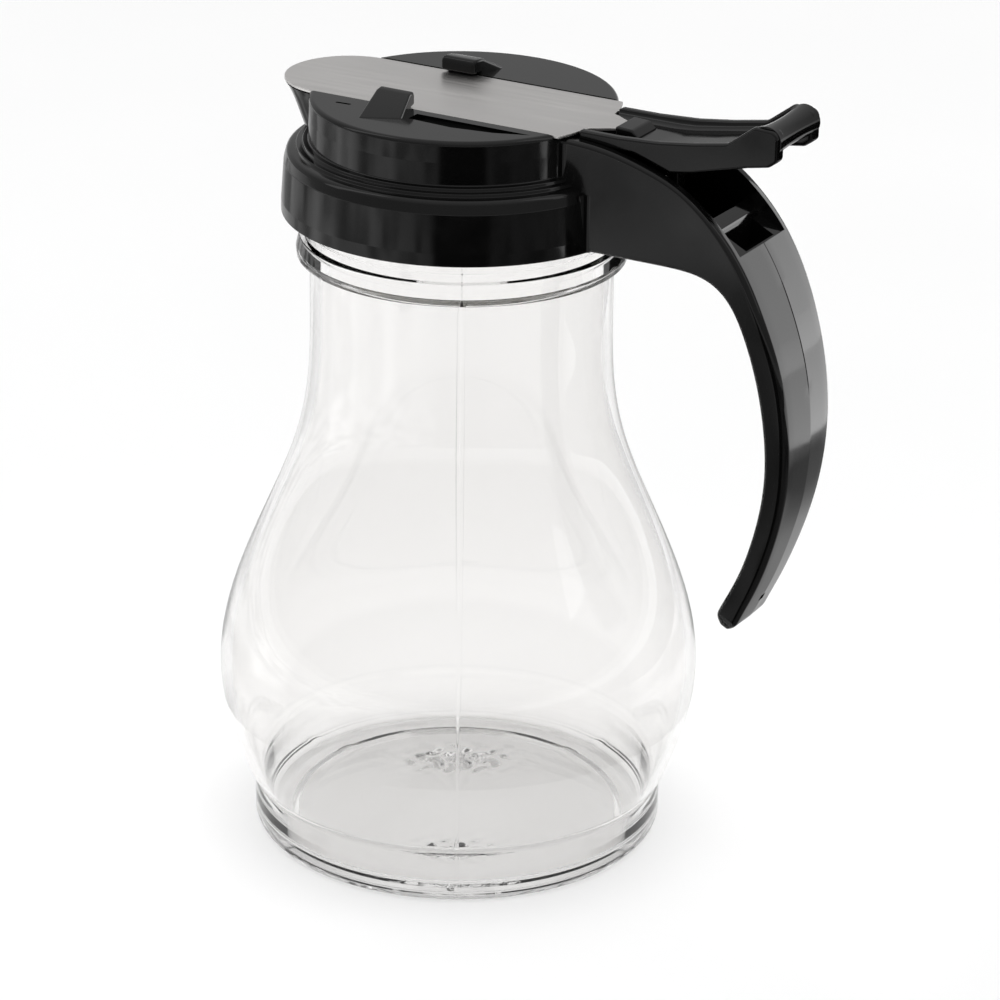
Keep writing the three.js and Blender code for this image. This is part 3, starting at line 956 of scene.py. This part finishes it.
def light_only(lamps, pieces):
    """Keeps lamps off everything but the named pieces."""
    lit = bpy.data.collections.new("lit_pieces")
    for name in pieces:
        lit.objects.link(bpy.data.objects[name])
    for name in lamps:
        bpy.data.objects[name].light_linking.receiver_collection = lit


# What the gloss picks up from the table round the server: turn from the camera's side in degrees, and light.
TABLE_GLOSS = [
    (-180, 0.7),
    (-130, 0.7),
    (-112, 0.6),
    (-102, 1.45),
    (-88, 1.45),
    (-80, 0.9),
    (-56, 1.25),
    (-19, 0.5),
    (-16, 0.01),
    (15, 0.01),
    (18, 0.2),
    (70, 0.24),
    (90, 0.8),
    (180, 0.7),
]


GLOSS_PEAK = 3.0


def grey(level):
    return (level, level, level, 1)


def gloss_card(name, verts, faces, fill):
    """An object on the table that only reflections see. fill builds the colour of its glow."""
    card = new_object(name, verts, faces)
    material = bpy.data.materials.new(name)
    material.use_nodes = True
    nodes, links = material.node_tree.nodes, material.node_tree.links
    nodes.clear()
    glow = nodes.new("ShaderNodeEmission")
    glow.inputs["Strength"].default_value = GLOSS_PEAK
    fill(nodes, links, glow.inputs["Color"])
    output = nodes.new("ShaderNodeOutputMaterial")
    links.new(glow.outputs["Emission"], output.inputs["Surface"])
    card.data.materials.append(material)
    for kind in ("camera", "diffuse", "transmission", "shadow", "volume_scatter"):
        setattr(card, "visible_" + kind, False)


def make_table_gloss():
    """A ring round the server, bright and dark by turns as a studio's cards and flags are, and a card."""

    def ring_glow(nodes, links, color):
        place = nodes.new("ShaderNodeTexCoord")
        shift = nodes.new("ShaderNodeMapping")
        shift.vector_type = "TEXTURE"
        shift.inputs["Location"].default_value = (AXIS_X, 0, 0)
        shift.inputs["Rotation"].default_value = (0, 0, math.radians(-60))
        links.new(place.outputs["Object"], shift.inputs["Vector"])
        turn = nodes.new("ShaderNodeTexGradient")
        turn.gradient_type = "RADIAL"
        links.new(shift.outputs["Vector"], turn.inputs["Vector"])
        ramp = nodes.new("ShaderNodeValToRGB")
        stops = ramp.color_ramp.elements
        for degrees, light in TABLE_GLOSS[1:-1]:
            stops.new((degrees + 180) / 360).color = grey(light / GLOSS_PEAK)
        stops[0].color = grey(TABLE_GLOSS[0][1] / GLOSS_PEAK)
        stops[-1].color = grey(TABLE_GLOSS[-1][1] / GLOSS_PEAK)
        links.new(turn.outputs["Fac"], ramp.inputs["Fac"])
        patches = nodes.new("ShaderNodeTexNoise")
        patches.inputs["Scale"].default_value = 9.0
        patches.inputs["Detail"].default_value = 1.0
        links.new(place.outputs["Object"], patches.inputs["Vector"])
        spread = nodes.new("ShaderNodeMapRange")
        spread.inputs["From Min"].default_value = 0.4
        spread.inputs["From Max"].default_value = 0.56
        spread.inputs["To Min"].default_value = 0.45
        spread.inputs["To Max"].default_value = 1.15
        links.new(patches.outputs["Fac"], spread.inputs["Value"])
        shade = nodes.new("ShaderNodeVectorMath")
        shade.operation = "SCALE"
        links.new(ramp.outputs["Color"], shade.inputs["Vector"])
        links.new(spread.outputs["Result"], shade.inputs["Scale"])
        links.new(shade.outputs["Vector"], color)

    def card_glow(nodes, links, color):
        color.default_value = grey(0.9)

    turns = [math.radians(a) for a in range(0, 360, 5)]
    count = len(turns)
    verts = [(r * math.cos(a), r * math.sin(a), 1.0) for r in (70, 900) for a in turns]
    faces = [(i, (i + 1) % count, count + (i + 1) % count, count + i) for i in range(count)]
    gloss_card("table_gloss", verts, faces, ring_glow)
    away, side = Vector((0.616, 0.787, 0)), Vector((-0.787, 0.616, 0))
    grip = Vector((73, 0, 1.6))
    reach = [(231, -350), (850, -350), (850, 350), (231, 350)]
    corners = [tuple(grip + away * far + side * wide) for far, wide in reach]
    gloss_card("grip_card", corners, [(0, 1, 2, 3)], card_glow)


make_camera()
make_world()
make_floor()
make_lights()
make_table_gloss()
make_jar()
make_gasket()
make_top()
make_gate()
make_rivet()
make_slider()
make_spring()
light_only(["back_right", "grip_card"], ["top_moulding"])

bpy.context.scene.view_settings.view_transform = "Standard"
bpy.context.scene.cycles.max_bounces = 24
bpy.context.scene.cycles.transmission_bounces = 20
bpy.context.scene.cycles.glossy_bounces = 12
